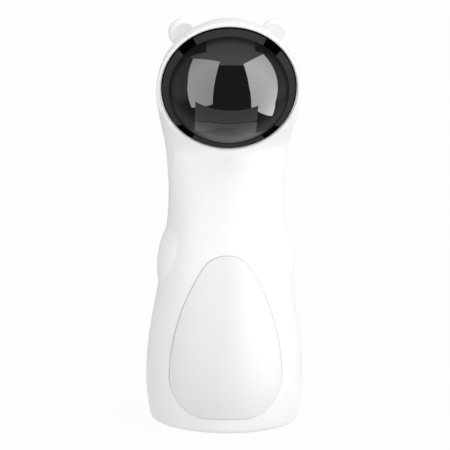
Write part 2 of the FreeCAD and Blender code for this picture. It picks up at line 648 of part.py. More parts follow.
motor_back = f"{frame_back} - pan_motor_long"
can = rod("pan_motor_radius", motor_back, f"{frame_back} - mask_gap", **motor_at)
tail = rod("pan_motor_radius*0.4", f"{motor_back} - 0.9", motor_back, **motor_at)
lugs = [block((f"{side}*pan_motor_radius*0.55 - 0.3", f"{side}*pan_motor_radius*0.55 + 0.3"),
              (f"-({pan_reach}) - 0.9", f"-({pan_reach}) + 0.9"), (f"{motor_back} - 2.4", f"{motor_back} + 1"))
        for side in (-1, 1)]
face_part("pan_motor", cut(join(can, tail, *lugs),
                           rod("pan_shaft + running", f"{motor_back} + pan_motor_long/2 - 0.5", 0, **motor_at)))

# ---- Turntable -----------------------------------------------------------------------------------------
# A toothed disc with a hub, two cheeks for the cradle and a saddle for the small tilt motor.

tilt_reach = "tilt_module*(tilt_teeth + tilt_pinion_teeth)/2 + mesh_gap"
tilt_up = f"-({tilt_reach})*sin(tilt_slant)"
tilt_out = f"-tilt_axis - ({tilt_reach})*cos(tilt_slant)"
drive_at = {"y": tilt_up, "z": tilt_out}
axis_at = {"z": "-tilt_axis"}
cheeks = [block(("cheek_in", "cheek_out") if side > 0 else ("-cheek_out", "-cheek_in"),
                ("-cheek_half", "cheek_half"), (f"{ring_front} - 0.5", "-tilt_axis")) for side in (-1, 1)]
cheek_tips = [rod("cheek_half", "cheek_in", "cheek_out", way="x", **axis_at),
              rod("cheek_half", "-cheek_out", "-cheek_in", way="x", **axis_at)]
saddle_half = "tilt_motor_radius + saddle_wall"
saddle = overlap(block(("saddle_in", "saddle_out"), (f"{tilt_up} - ({saddle_half})", f"{tilt_up} + ({saddle_half})"),
                       (f"{ring_front} - 0.5", tilt_out)),
                 rod("pan_module*(pan_teeth/2 - 2.5)", f"{ring_front} - 1", 0))
table = cut(join(ring, hub, *cheeks, *cheek_tips, saddle),
            rod("sleeve_radius + running", -60, 0),
            rod("pin_radius + running", -20, 20, way="x", **axis_at),
            rod("tilt_motor_radius + running", "saddle_in - 1", "saddle_out + 1", way="x", **drive_at))
face_part("pan_turntable", table)

tilt_motor = rod("tilt_motor_radius", "tilt_motor_in", "tilt_motor_in + tilt_motor_long", way="x", **drive_at)
tilt_flat = block(("tilt_motor_in - 1", "tilt_motor_in + tilt_motor_long + 1"), (-30, 30),
                  (f"{tilt_out} + tilt_motor_radius*0.8", 20))
tilt_bore = rod("tilt_shaft + running", 0, "tilt_motor_in + 3", way="x", **drive_at)
face_part("tilt_motor", cut(tilt_motor, tilt_flat, tilt_bore))
face_part("tilt_motor_shaft", rod("tilt_shaft", "gear_in - 0.2", "tilt_motor_in + 2.5", way="x", **drive_at))


def across(gear):
    """Lays a gear that was drawn flat onto an axis along X, at the gear stage beside the cheek."""
    turn(gear, 90, (0, 1, 0))
    return gear


tilt_gear = across(gear_solid("TiltGear", "tilt_module", "tilt_teeth", "-tilt_slant", 0, "gear_thick"))
put(tilt_gear, "gear_in", 0, "-tilt_axis")
tilt_pinion = across(gear_solid("TiltPinion", "tilt_module", "tilt_pinion_teeth",
                                "180 - tilt_slant + 180/tilt_pinion_teeth", 0, "gear_thick"))
put(tilt_pinion, "gear_in", tilt_up, tilt_out)
face_part("tilt_gear", cut(tilt_gear, rod("pin_radius + 0.02", 0, 30, way="x", **axis_at)))
face_part("tilt_pinion", cut(tilt_pinion, rod("tilt_shaft + 0.02", 0, 30, way="x", **drive_at)))

# ---- Laser cradle --------------------------------------------------------------------------------------
# A small block that hangs on two pins between the cheeks and grips the brass laser barrel.

cradle = overlap(block(("-cradle_half", "cradle_half"), ("-cradle_tall", "cradle_tall"),
                       ("-tilt_axis - cradle_back", "-tilt_axis + cradle_front + 2")),
                 rod("cradle_tall*1.12", "-cradle_half", "cradle_half", way="x", **axis_at))
face_part("laser_cradle", cut(cradle, rod("barrel_radius + 0.02", -30, 30),
                              rod("pin_radius + 0.02", "-20", "20", way="x", **axis_at)))
face_part("cradle_pins", group(
    rod("pin_radius", "-cheek_out - 0.4", "-pin_inner", way="x", **axis_at),
    rod("pin_radius", "pin_inner", "gear_in + gear_thick + 0.2", way="x", **axis_at)))
barrel_back = "-tilt_axis - barrel_back"
barrel_front = "-tilt_axis + barrel_front"
knurls = [tube("barrel_radius + 1", "barrel_radius - 0.15", f"{barrel_front} - {0.9 + 0.6*i}",
               f"{barrel_front} - {0.6 + 0.6*i}") for i in range(3)]
face_part("laser_barrel", cut(rod("barrel_radius", barrel_back, barrel_front),
                              rod("barrel_radius - barrel_wall", f"{barrel_back} + 1", f"{barrel_front} - 1.4"),
                              rod("barrel_radius*0.45", f"{barrel_front} - 2", f"{barrel_front} + 1"),
                              block(("-driver_wide/2 - 0.05", "driver_wide/2 + 0.05"),
                                    ("-driver_thick/2 - 0.05", "driver_thick/2 + 0.05"),
                                    (f"{barrel_back} - 1", f"{barrel_back} + 2")), *knurls))
face_part("laser_lens", rod("barrel_radius - barrel_wall - 0.02", f"{barrel_front} - 3", f"{barrel_front} - 1.45"))
face_part("laser_driver_board", join(
    block(("-driver_wide/2", "driver_wide/2"), ("-driver_thick/2", "driver_thick/2"),
          (f"{barrel_back} - driver_long", f"{barrel_back} + 1.9")),
    block((-1, 1), ("driver_thick/2 - 0.1", "driver_thick/2 + 0.7"),
          (f"{barrel_back} - driver_long + 1", f"{barrel_back} - driver_long + 3"))))

# ---- Circuit board and what is soldered to it ----------------------------------------------------------

board = block(("-board_half", "board_half"), ("board_front", board_back), ("board_low", "board_top"))
part("main_board", cut(board, *[rod("small_screw + fit", 0, 60, way="y", **board_post_at(*p))
                                for p in BOARD_POSTS]))
part("board_screws", screws("small_screw - 0.15", "small_head", "small_head_tall", "board_front",
                            f"{board_back} + small_long - 1", [board_post_at(*p) for p in BOARD_POSTS], "y"))
chip_high = 60
pins = [block((f"{side}*2.2 - 0.9", f"{side}*2.2 + 0.9"), ("board_front - 0.35", "board_front"),
              (f"{chip_high + row} - 0.2", f"{chip_high + row} + 0.2")) for side in (-1, 1)
        for row in (-1.9, -0.64, 0.64, 1.9)]
chip = block((-2, 2), ("board_front - 1.5", "board_front - 0.1"), (f"{chip_high} - 2.5", f"{chip_high} + 2.5"))
part("controller_chip", join(chip, *pins))
part("filter_capacitor", rod(3.15, "board_front - 7", "board_front", x=7, z=72, way="y"))
socket_x = ("-socket_wide/2", "socket_wide/2")
socket_z = ("socket_high - socket_tall/2", "socket_high + socket_tall/2")
shell_x = ("-socket_wide/2 + socket_skin", "socket_wide/2 - socket_skin")
shell_z = ("socket_high - socket_tall/2 + socket_skin", "socket_high + socket_tall/2 - socket_skin")
tongue = block(("-socket_wide/2 + 1.2", "socket_wide/2 - 1.2"), (f"{board_back} + 2", "socket_end - 1"),
               ("socket_high - 0.35", "socket_high + 0.35"))
part("usb_socket", join(cut(block(socket_x, (board_back, "socket_end"), socket_z),
                            block(shell_x, ("socket_end - 7", "socket_end + 1"), shell_z)), tongue))

# ---- Power button --------------------------------------------------------------------------------------
# The cap slides in the collar of the rear shell and presses the plunger of a small switch on the board.

button_back = "collar_end - button_play"
button_root = f"{button_back} - button_plate"
proud_form = skin("ProudForm", "button_rise")
button_cap = overlap(rod("button_radius", button_root, 60, z="button_high", way="y"), proud_form)
part("power_button", join(button_cap,
                          rod("button_flange", button_root, button_back, z="button_high", way="y")))
switch_end = f"{board_back} + switch_tall"
switch_block = block(("-switch_wide/2", "switch_wide/2"), (board_back, switch_end),
                     ("button_high - switch_wide/2", "button_high + switch_wide/2"))
part("switch_body", cut(switch_block, rod("plunger_radius + running", f"{switch_end} - button_travel - 0.6",
                                          60, z="button_high", way="y")))
part("switch_plunger", rod("plunger_radius", f"{switch_end} - plunger_in", f"{button_root} - 0.02",
                           z="button_high", way="y"))

# ---- Status lamp ---------------------------------------------------------------------------------------

lamp_end = f"{board_back} + lamp_tall"
lamp_ball = doc.addObject("Part::Sphere", "LampDome")
tie(lamp_ball, Radius="lamp_radius")
put(lamp_ball, 0, f"{lamp_end} - lamp_radius", lamp_high)
part("status_lamp", join(rod("lamp_radius", board_back, f"{lamp_end} - lamp_radius", z=lamp_high, way="y"),
                         rod("lamp_radius + 0.3", board_back, f"{board_back} + 1", z=lamp_high, way="y"),
                         lamp_ball))
guide_rod = overlap(rod("lamp_radius", f"{lamp_end} + 0.2", 60, z=lamp_high, way="y"), form)
part("light_guide", guide_rod)

# ---- Base plate, battery well and door -----------------------------------------------------------------

plate_top = "plate_high + plate_thick"
hinge_at = {"y": "hinge_back", "z": "hinge_high"}
disc = rod("plate_radius - plate_gap", "plate_high", plate_top)
frame = block(("-frame_half", "frame_half"), ("-frame_ahead", "frame_back"), ("plate_high", "frame_top"))
well = block(("-well_half - well_wall", "well_half + well_wall"), ("-well_deep - well_wall", "well_deep + well_wall"),
             ("frame_top - 1", "well_top + well_wall"))
well_inside = block(("-well_half", "well_half"), ("-well_deep", "well_deep"), (0, "well_top"))
door_pocket = block(("-door_half - door_gap", "door_half + door_gap"),
                    ("-door_front - door_gap", "hinge_back + knuckle + door_gap + 0.3"),
                    (0, "door_low + door_thick + door_gap"))
knuckle_room = rod("knuckle + door_gap + 0.1", "-door_half - door_gap", "door_half + door_gap", way="x", **hinge_at)
thumb_notch = block((-6, 6), ("-door_front - 3", "-door_front"), (0, "plate_high + 1.2"))
foot_wells = [rod("foot_radius + fit", 0, "plate_high + foot_sunk", x=f"{side}*foot_side", y=f"{way}*foot_deep")
              for side in (-1, 1) for way in (-1, 1)]
BASE_SCREWS = [{"x": f"{side}*base_screw_side", "y": f"{way}*base_screw_back"} for side in (-1, 1)
               for way in (-1, 1)]
base_wells = [rod("screw_head + 0.25", 0, "plate_high + screw_head_tall", **place) for place in BASE_SCREWS]
base_holes = [rod("screw_radius + fit", 0, 10, **place) for place in BASE_SCREWS]
pin_hole = rod("hinge_pin + 0.02", "-pin_end - fit", "pin_end + fit", way="x", **hinge_at)
part("base_plate", cut(join(disc, frame, well), well_inside, door_pocket, knuckle_room, thumb_notch, pin_hole,
                       *foot_wells, *base_wells, *base_holes))
part("base_screws", screws("screw_radius", "screw_head", "screw_head_tall - 0.1", "plate_high + screw_head_tall",
                           "plate_high + screw_head_tall + 9", BASE_SCREWS, "z"))
part("door_hinge_pin", rod("hinge_pin", "-pin_end", "pin_end", way="x", **hinge_at))
door_panel = block(("-door_half", "door_half"), ("-door_front", "hinge_back"),
                   ("door_low", "door_low + door_thick"))
door_barrel = rod("knuckle", "-door_half", "door_half", way="x", **hinge_at)
grip = [block((-5, 5), (f"-door_front + {1.2 + 1.4*i}", f"-door_front + {1.8 + 1.4*i}"), (0, "door_low + 0.4"))
        for i in range(4)]
part("battery_door", cut(join(door_panel, door_barrel),
                         rod("hinge_pin + running", "-30", "30", way="x", **hinge_at), *grip))
part("rubber_feet", group(*[rod("foot_radius", 0, "plate_high + foot_sunk", x=f"{side}*foot_side",
                                y=f"{way}*foot_deep") for side in (-1, 1) for way in (-1, 1)]))
part("case_screws", group(*[
    screws("screw_radius", "screw_head", "screw_head_tall", "screw_seat", "screw_seat - screw_long",
           [case_at(*s)], "y") for s in case_screws]))

# ---- Cells and contacts --------------------------------------------------------------------------------

door_top = "door_low + door_thick"
cell_top = "well_top - contact_thick - fit"
cells = []
for number, side in enumerate((-1, 0, 1)):
    place = {"x": f"{side}*cell_pitch"}
    low = f"{cell_top} - cell_long"
    if number % 2:
        can = rod("cell_radius", f"{low} + cell_nub", cell_top, **place)
        nub = rod("cell_nub_radius", low, f"{low} + cell_nub + 0.5", **place)
    else:
        can = rod("cell_radius", low, f"{cell_top} - cell_nub", **place)
        nub = rod("cell_nub_radius", f"{cell_top} - cell_nub - 0.5", cell_top, **place)
    cells.append(join(can, nub))
part("battery_cells", group(*cells))
part("top_contacts", group(
    block(("-cell_pitch*0.5 + 0.8", "cell_pitch + 4.5"), (-4, 4), ("well_top - contact_thick", "well_top")),
    block(("-cell_pitch - 4.5", "-cell_pitch*0.5 - 0.8"), (-4, 4), ("well_top - contact_thick", "well_top"))))
nub_end = f"{cell_top} - cell_long - fit"
part("door_contacts", group(
    join(block(("-cell_pitch - 4.5", "cell_pitch*0.5 - 0.8"), (-4, 4), (door_top, f"{door_top} + contact_thick")),
         rod("cell_nub_radius - 0.5", door_top, nub_end)),
    block(("cell_pitch*0.5 + 0.8", "cell_pitch + 4.5"), (-4, 4), (door_top, f"{door_top} + contact_thick"))))
springs = []
for side in (-1, 1):
    spring_low = f"{door_top} + contact_thick + spring_wire"
    spring_high = f"{nub_end} - spring_wire"
    helix = doc.addObject("Part::Helix", "SpringPath")
    tie(helix, Radius="spring_radius", Height=f"{spring_high} - ({spring_low})",
        Pitch=f"({spring_high} - ({spring_low}))/spring_turns")
    wire = doc.addObject("Part::Circle", "SpringWire")
    tie(wire, Radius="spring_wire")
    turn(wire, 90, (1, 0, 0))
    put(wire, "spring_radius", 0, 0)
    coil = doc.addObject("Part::Sweep", "Spring")
    coil.Sections = [wire]
    coil.Spine = helix
    coil.Solid = True
    coil.Frenet = True
    put(coil, f"{side}*cell_pitch", 0, spring_low)
    springs.append(coil)
part("battery_springs", group(*springs))

# ---- Checks and output ---------------------------------------------------------------------------------

doc.recompute()
for thing in doc.Objects:
    if "Invalid" in thing.State or "Error" in thing.State:
        raise ValueError(f"{thing.Label} ({thing.Name}) failed: {thing.State}")
os.makedirs("parts", exist_ok=True)
for node, thing in PARTS.items():
    shape = thing.Shape
    if shape.isNull() or not shape.isValid() or not shape.Solids:
        raise ValueError(f"{node} has no valid solid")
    shape.exportStep(f"parts/{node}.step")
    print(f"{node}: {len(shape.Solids)} solids, {shape.Volume:.1f} mm3")
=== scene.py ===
"""An automatic laser toy for cats: a white figure with a smoked dome for a face.

Metres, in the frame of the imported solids: +Z is up, the face looks towards -Y.
"""
import bpy
import math
from mathutils import Matrix, Vector

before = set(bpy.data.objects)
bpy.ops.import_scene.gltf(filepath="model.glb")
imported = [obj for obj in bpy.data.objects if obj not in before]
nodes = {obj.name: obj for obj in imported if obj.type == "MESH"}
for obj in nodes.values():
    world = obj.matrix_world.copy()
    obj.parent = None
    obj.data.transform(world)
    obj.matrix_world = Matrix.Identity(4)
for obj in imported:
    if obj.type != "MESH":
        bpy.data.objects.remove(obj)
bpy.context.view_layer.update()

# ---- The table and the light ---------------------------------------------------------------------------
# The toy stands in a white room, on a white table top that shows only from above, so that its base can be
# seen from below. Two tall softboxes beside the camera, a panel overhead and two papers on the table show
# only in reflections. The light comes from the room, from the table and from one softbox on the right.


class Wire:
    """An output in a tree of shader nodes. Python's operators on it add Math nodes."""

    def __init__(self, tree, socket):
        self.tree = tree
        self.socket = socket

    def add(self, kind, settings=None, inputs=None, out=0):
        """Any node: its settings first, then numbers or wires for its inputs; gives one output."""
        made = self.tree.nodes.new(kind)
        for name, setting in (settings or {}).items():
            setattr(made, name, setting)
        for name, given in (inputs or {}).items():
            if isinstance(given, Wire):
                self.tree.links.new(given.socket, made.inputs[name])
            else:
                made.inputs[name].default_value = given
        return Wire(self.tree, made.outputs[out])

    def math(self, operation, first, second=0.0):
        """A Math node on two numbers or wires."""
        return self.add("ShaderNodeMath", {"operation": operation}, {0: first, 1: second})

    def __add__(self, other):
        return self.math("ADD", self, other)

    def __radd__(self, other):
        return self.math("ADD", other, self)

    def __sub__(self, other):
        return self.math("SUBTRACT", self, other)

    def __rsub__(self, other):
        return self.math("SUBTRACT", other, self)

    def __mul__(self, other):
        return self.math("MULTIPLY", self, other)

    def __rmul__(self, other):
        return self.math("MULTIPLY", other, self)

    def __truediv__(self, other):
        return self.math("DIVIDE", self, other)

    def __rtruediv__(self, other):
        return self.math("DIVIDE", other, self)

    def __abs__(self):
        return self.math("ABSOLUTE", self)

    def root(self):
        """The square root."""
        return self.math("SQRT", self)

    def rise(self, low, high):
        """0 below low, 1 above high and smooth between them."""
        return self.add("ShaderNodeMapRange", {"interpolation_type": "SMOOTHSTEP"},
                        {"Value": self, "From Min": low, "From Max": high})

    def tint(self, start, end):
        """A colour that goes from one to another as this value goes from 0 to 1."""
        return self.add("ShaderNodeMix", {"data_type": "RGBA"}, {"Factor": self, 6: start, 7: end}, 2)

    def along(self, direction):
        """How far a point lies along a direction."""
        return self.add("ShaderNodeVectorMath", {"operation": "DOT_PRODUCT"}, {0: self, 1: direction}, 1)

    def to(self, socket):
        """Plugs this output into a socket."""
        self.tree.links.new(self.socket, socket)


def grey(level):
    """A neutral colour."""
    return (level, level, level, 1.0)


def new_material(name):
    """An empty material with its output: the wire to start from, and the shader socket to end at."""
    material = bpy.data.materials.new(name)
    material.use_nodes = True
    tree = material.node_tree
    tree.nodes.clear()
    output = tree.nodes.new("ShaderNodeOutputMaterial")
    return material, Wire(tree, None), output.inputs["Surface"]


def object_place(wire):
    """Where a point lies, in metres, in the toy's own frame."""
    return wire.add("ShaderNodeTexCoord", out="Object")


def flat_sheet(name, corners, face):
    """A single face between corners, such as a table top or a card."""
    mesh = bpy.data.meshes.new(name)
    mesh.from_pydata(corners, [], [range(len(corners))])
    sheet = bpy.data.objects.new(name, mesh)
    sheet.data.materials.append(face)
    bpy.context.scene.collection.objects.link(sheet)
    return sheet


TABLE_FRONT = 0.165
TABLE_HALF = 0.9
TABLE_BACK = 2.4
TABLE_GLOW = 0.76       # the light that the table gives back, with white paper at 1
TABLE_SHADE = 0.06      # how strongly the toy's shadow shows on it

table_white, wire, surface = new_material("table_white")
from_camera = wire.add("ShaderNodeLightPath")
underneath = wire.add("ShaderNodeNewGeometry", out="Backfacing")
bare = wire.add("ShaderNodeBsdfDiffuse", inputs={"Color": grey(0.72)})
bright = wire.add("ShaderNodeEmission", inputs={
    "Color": grey(1.0), "Strength": from_camera * (1 - TABLE_GLOW) + TABLE_GLOW})
upper_side = wire.add("ShaderNodeMixShader", inputs={0: 1 - from_camera * TABLE_SHADE, 1: bare, 2: bright})
clear = wire.add("ShaderNodeBsdfTransparent")
wire.add("ShaderNodeMixShader", inputs={0: underneath, 1: upper_side, 2: clear}).to(surface)
table_top = flat_sheet("table_top", [(-TABLE_HALF, -TABLE_FRONT, 0), (TABLE_HALF, -TABLE_FRONT, 0),
                                     (TABLE_HALF, TABLE_BACK, 0), (-TABLE_HALF, TABLE_BACK, 0)], table_white)
table_top.visible_glossy = False

# The room is brighter on the right, in front and above, and mirrors show it dim, but for its back and sides.
AMBIENT = 0.9
BRIGHT_WAY = (0.7, -0.55, 0.4)
BRIGHT_SHARE = 0.55
BEHIND_PART = (-0.1, 0.6)
BESIDE_PART = (0.78, 0.95)
MIRRORED_DIM = 0.13
MIRRORED_BEHIND = 0.25
MIRRORED_BESIDE = 0.45

world = bpy.data.worlds.new("studio")
bpy.context.scene.world = world
world.use_nodes = True
world.node_tree.nodes.clear()
sky = Wire(world.node_tree, None)
seen = sky.add("ShaderNodeLightPath")
glossy = Wire(sky.tree, seen.socket.node.outputs["Is Glossy Ray"])
through = Wire(sky.tree, seen.socket.node.outputs["Is Transmission Ray"])
way = sky.add("ShaderNodeTexCoord", out="Generated")
behind = way.along((0, 1, 0)).rise(*BEHIND_PART)
beside = abs(way.along((1, 0, 0))).rise(*BESIDE_PART)
mirrored = behind * MIRRORED_BEHIND + beside * MIRRORED_BESIDE + MIRRORED_DIM
around = way.along(BRIGHT_WAY) * BRIGHT_SHARE + 1
level = seen + glossy * mirrored + through + (1 - seen) * (1 - glossy) * (1 - through) * around * AMBIENT
sky.add("ShaderNodeBackground", inputs={"Color": grey(1.0), "Strength": level}).to(
    sky.tree.nodes.new("ShaderNodeOutputWorld").inputs["Surface"])


def softbox(name, place, aim, wide, tall, strength):
    """A lit panel that faces a point. Strength is how bright its face looks, with white paper at 1."""
    lamp = bpy.data.lights.new(name, "AREA")
    lamp.shape = "RECTANGLE"
    lamp.size = wide
    lamp.size_y = tall
    lamp.energy = strength * wide * tall * math.pi
    panel = bpy.data.objects.new(name, lamp)
    panel.location = place
    panel.rotation_euler = (Vector(aim) - Vector(place)).to_track_quat("-Z", "Y").to_euler()
    panel.visible_camera = False
    panel.visible_glossy = False
    bpy.context.scene.collection.objects.link(panel)


def card(name, corners, strength, brighter=(0, 0, 0)):
    """A lit card that shows only in reflections; its light can grow along a direction."""
    glow, wire, surface = new_material(name)
    wire.add("ShaderNodeEmission", inputs={
        "Color": grey(1.0), "Strength": (object_place(wire).along(brighter) + 1) * strength}).to(surface)
    sheet = flat_sheet(name, corners, glow)
    sheet.visible_camera = False
    sheet.visible_diffuse = False
    sheet.visible_shadow = False
    sheet.visible_transmission = False


FACE_TILT = math.radians(14)
FACE_MIDDLE = Vector((0, -0.022, 0.199))
FACE_UP = Vector((0, -math.sin(FACE_TILT), math.cos(FACE_TILT)))
CEILING_HIGH = 1.2


def seen_from_face(*directions):
    """Points a metre from the middle of the face, in given directions."""
    return [FACE_MIDDLE + Vector(direction).normalized() for direction in directions]


def level_at(height, *points):
    """Points that all lie at one height."""
    return [(x, y, height) for x, y in points]


card("left_softbox", seen_from_face(
    (-0.845, -0.299, 0.444), (-0.256, -0.801, 0.54), (-0.392, -0.92, 0.021), (-0.397, -0.687, -0.608),
    (-0.739, -0.145, -0.658), (-0.939, -0.326, -0.11)), 5.4, (-0.25, 0, 0.25))
card("right_softbox", seen_from_face(
    (0.385, -0.793, 0.472), (0.798, -0.254, 0.546), (0.97, -0.189, 0.15), (0.969, -0.082, -0.232),
    (0.854, 0.062, -0.516), (0.658, 0.31, -0.686), (0.531, -0.529, -0.661), (0.534, -0.836, -0.121)),
    7.6, (0.3, 0, 0.3))
card("ceiling", level_at(
    CEILING_HIGH, (-0.619, -0.199), (0.747, -0.19), (0.945, -0.576), (1.573, -0.411), (0.839, -1.754),
    (0.788, -1.899), (-0.581, -1.942), (-0.485, -1.545), (-1.956, -0.716), (-2.006, -0.404),
    (-0.845, -0.692)), 1.45)
card("paper_front", level_at(
    0, (-0.281, -0.17), (-0.176, -0.192), (-0.079, -0.202), (0.016, -0.206), (0.112, -0.192), (0.174, -0.178),
    (0.225, -0.164), (0.186, -0.121), (0.155, -0.078), (0.13, -0.034), (0.102, -0.056), (0.066, -0.074),
    (0.012, -0.086), (-0.04, -0.082), (-0.09, -0.065), (-0.138, 0.001), (-0.16, -0.035), (-0.19, -0.076),
    (-0.23, -0.121)), 0.85)
card("paper_back", level_at(
    0, (-0.135, 0.005), (-0.088, -0.061), (-0.04, -0.077), (0.012, -0.081), (0.065, -0.07), (0.1, -0.052),
    (0.124, -0.022), (0.106, 0.021), (0.09, 0.079), (0.055, 0.055), (0.012, 0.035), (-0.031, 0.037),
    (-0.087, 0.161), (-0.11, 0.068)), 1.15)
softbox("fill_right", (1.1, -1.0, 1.0), (0, 0, 0.12), 1.2, 1.2, 0.35)

# ---- Camera --------------------------------------------------------------------------------------------
# It stands ten metres off with a long lens, a little above the toy and a little to the toy's own right, and
# leans by under a degree.
CAMERA_HEIGHT = math.radians(13.5)
CAMERA_TURN = math.radians(1.55)
CAMERA_LEAN = math.radians(0.742)
CAMERA_FAR = 10.0
CAMERA_AIM = Vector((-0.00062, 0, 0.1133))
FRAME_WIDE = 0.45 / 1.75
SENSOR_WIDE = 36

look = Vector((math.sin(CAMERA_TURN) * math.cos(CAMERA_HEIGHT),
               math.cos(CAMERA_TURN) * math.cos(CAMERA_HEIGHT), -math.sin(CAMERA_HEIGHT)))
level_right = Vector((math.cos(CAMERA_TURN), -math.sin(CAMERA_TURN), 0))
level_up = level_right.cross(look)
camera_right = level_right * math.cos(CAMERA_LEAN) + level_up * math.sin(CAMERA_LEAN)
camera_up = level_up * math.cos(CAMERA_LEAN) - level_right * math.sin(CAMERA_LEAN)
camera_data = bpy.data.cameras.new("camera")
camera_data.sensor_width = SENSOR_WIDE
camera_data.lens = SENSOR_WIDE * CAMERA_FAR / FRAME_WIDE
camera_data.clip_end = 100
camera = bpy.data.objects.new("camera", camera_data)
turned = Matrix((camera_right, camera_up, -look)).transposed().to_4x4()
camera.matrix_world = Matrix.Translation(CAMERA_AIM - look * CAMERA_FAR) @ turned
bpy.context.scene.collection.objects.link(camera)
bpy.context.scene.camera = camera
bpy.context.scene.view_settings.view_transform = "Standard"

# ---- White shells --------------------------------------------------------------------------------------
# Two glossy white mouldings, front and rear, that meet on a seam down each side. The mould leaves a very
# fine orange peel on them, handling dulls them in patches, and the dish in each ear is painted a little
# darker, as painted shade in its hollow.
TONE_DRIFT = 0.03
PATCH_SCALE = 22.0
PATCH_EDGE = (0.35, 0.65)
BUMP_STRENGTH = 0.25
# The share to which the ear dishes are painted darker, as painted shade in the hollow of each ear.
DISH_PAINTED_SHADE = 0.87
DISH_MIDDLE = (0.0246, -0.018, 0.2286)
DISH_REACH = (0.0102, 0.0033, 0.0102)
DISH_EDGE = (0.03, 0.09)


def darker(colour, share):
    """A colour brought down to a share of itself."""
    return tuple(part * share for part in colour[:3]) + (1.0,)


def moulded(name, colour, rough, grain, depth, edge=0.0003, patch=0.0, painted_shade_part=None, **fixed):
    """Moulded plastic: a colour that drifts a little, a fine grain, soft edges, patches of polish and painted
    shade.
    """
    material, wire, surface = new_material(name)
    place = object_place(wire)
    drift = wire.add("ShaderNodeTexNoise", inputs={"Vector": place, "Scale": PATCH_SCALE, "Detail": 2.0})
    fine = wire.add("ShaderNodeTexNoise", inputs={"Vector": place, "Scale": grain, "Detail": 3.0})
    shade = drift.rise(*PATCH_EDGE).tint(darker(colour, 1 - TONE_DRIFT), colour)
    # Painted shade: where the given part is 1, the colour is painted darker for the shade in a hollow.
    if painted_shade_part:
        shade = painted_shade_part(place).tint(shade, darker(colour, DISH_PAINTED_SHADE))
    soft = wire.add("ShaderNodeBevel", {"samples": 6}, {"Radius": edge})
    bump = wire.add("ShaderNodeBump", inputs={
        "Strength": BUMP_STRENGTH, "Distance": depth, "Height": fine, "Normal": soft})
    wire.add("ShaderNodeBsdfPrincipled", inputs={
        "Base Color": shade, "Roughness": drift * patch + (rough - patch / 2), "Normal": bump,
        **fixed}).to(surface)
    return material


def wear(material, *names):
    """Gives CAD nodes their material."""
    for name in names:
        slots = nodes[name].data.materials
        slots.clear()
        slots.append(material)


def ear_dish_shade_mask(place):
    """1 in the shallow dish of each ear, where shade is painted, and 0 elsewhere."""
    out = (abs(place.along((1, 0, 0))) - DISH_MIDDLE[0]) / DISH_REACH[0]
    ahead = (place.along((0, 1, 0)) - DISH_MIDDLE[1]) / DISH_REACH[1]
    above = (place.along((0, 0, 1)) - DISH_MIDDLE[2]) / DISH_REACH[2]
    return 1 - abs(out * out + ahead * ahead + above * above - 1).rise(*DISH_EDGE)


wear(moulded("shell_white", grey(0.9), 0.42, 900.0, 0.00003, edge=0.0004, patch=0.06,
             painted_shade_part=ear_dish_shade_mask, **{"Specular IOR Level": 0.07}), "front_shell", "rear_shell")

# ---- Belly panel ---------------------------------------------------------------------------------------
# A separate egg-shaped plate, moulded in the same plastic with a satin face, and glued into a shallow
# recess of the front shell. Its colour is painted darker than the shells', as painted shade.
# Painted shade: the shells' white plastic, with its colour brought down from 0.9 to 0.71.
wear(moulded("belly_satin_painted_shade", grey(0.71), 0.6, 1400.0, 0.00003, edge=0.0002,
             **{"Specular IOR Level": 0.5}), "belly_panel")

# ---- Dome ----------------------------------------------------------------------------------------------
# A polished cover of smoked plastic, glued into the front shell, and so dark that the laser behind it
# hardly shows. It hazes towards its edge, most of all below, where its colour is painted lighter as a
# painted reflection of the white table and body below it. Round it run a dull ring painted near black, as
# painted shade in the crease inside the flange, and a flange painted a lighter grey as a painted reflection
# of the softboxes, the ceiling and the table, with four dark gaps where these reflections end and a dark
# outer rim.
FLANGE_START = (0.0342, 0.0345)
# Where the ring of painted shade for the crease inside the flange lies.
CREASE_SHADE_RING = (0.0312, 0.0338)
OUTER_LINE = (0.0378, 0.0381)
# The next three values shape the four dark gaps in the flange's painted reflection.
REFLECTION_GAP_EDGE = (0.27, 0.31)
REFLECTION_GAP_ACROSS = 1.13
REFLECTION_GAP_UP = 0.885
LOW_PART = (0.01, 0.022)
EDGE_PART = (0.024, 0.034)
HAZE = 0.38
HAZE_LOW = 0.57
# How much of that ring the painted crease shade covers.
CREASE_SHADE_SHARE = 0.8
LINE_EDGE = (0.2, 0.8)
DULL = {"Specular IOR Level": 0.0}


def smoked(wire, colour, rough, **fixed):
    """A layer of the dome's plastic, polished or dull."""
    return wire.add("ShaderNodeBsdfPrincipled", inputs={"Base Color": colour, "Roughness": rough, **fixed})


dome_smoke, wire, surface = new_material("dome_smoke")
centred = wire.add("ShaderNodeVectorMath", {"operation": "SUBTRACT"}, {0: object_place(wire), 1: FACE_MIDDLE})
across = centred.along((1, 0, 0))
up = centred.along(FACE_UP)
reach = (across * across + up * up).root()
wide = across * across * REFLECTION_GAP_ACROSS
tall = up * up * REFLECTION_GAP_UP
reflection_gap = 1 - (abs(wide - tall) / (wide + tall)).rise(*REFLECTION_GAP_EDGE)
low = (up * -1).rise(*LOW_PART)
polished = smoked(wire, (0.004, 0.004, 0.0045, 1.0), 0.03, IOR=1.5)
# Painted reflection: below, the hazed layer is painted lighter, for the white table and body reflected there.
hazed_with_painted_reflection = smoked(wire, low.tint(grey(0.012), grey(0.025)), 0.5, **DULL)
# Painted shade: a near-black ring for the shade in the crease inside the flange.
crease_shade_black = smoked(wire, grey(0.008), 0.5, **DULL)
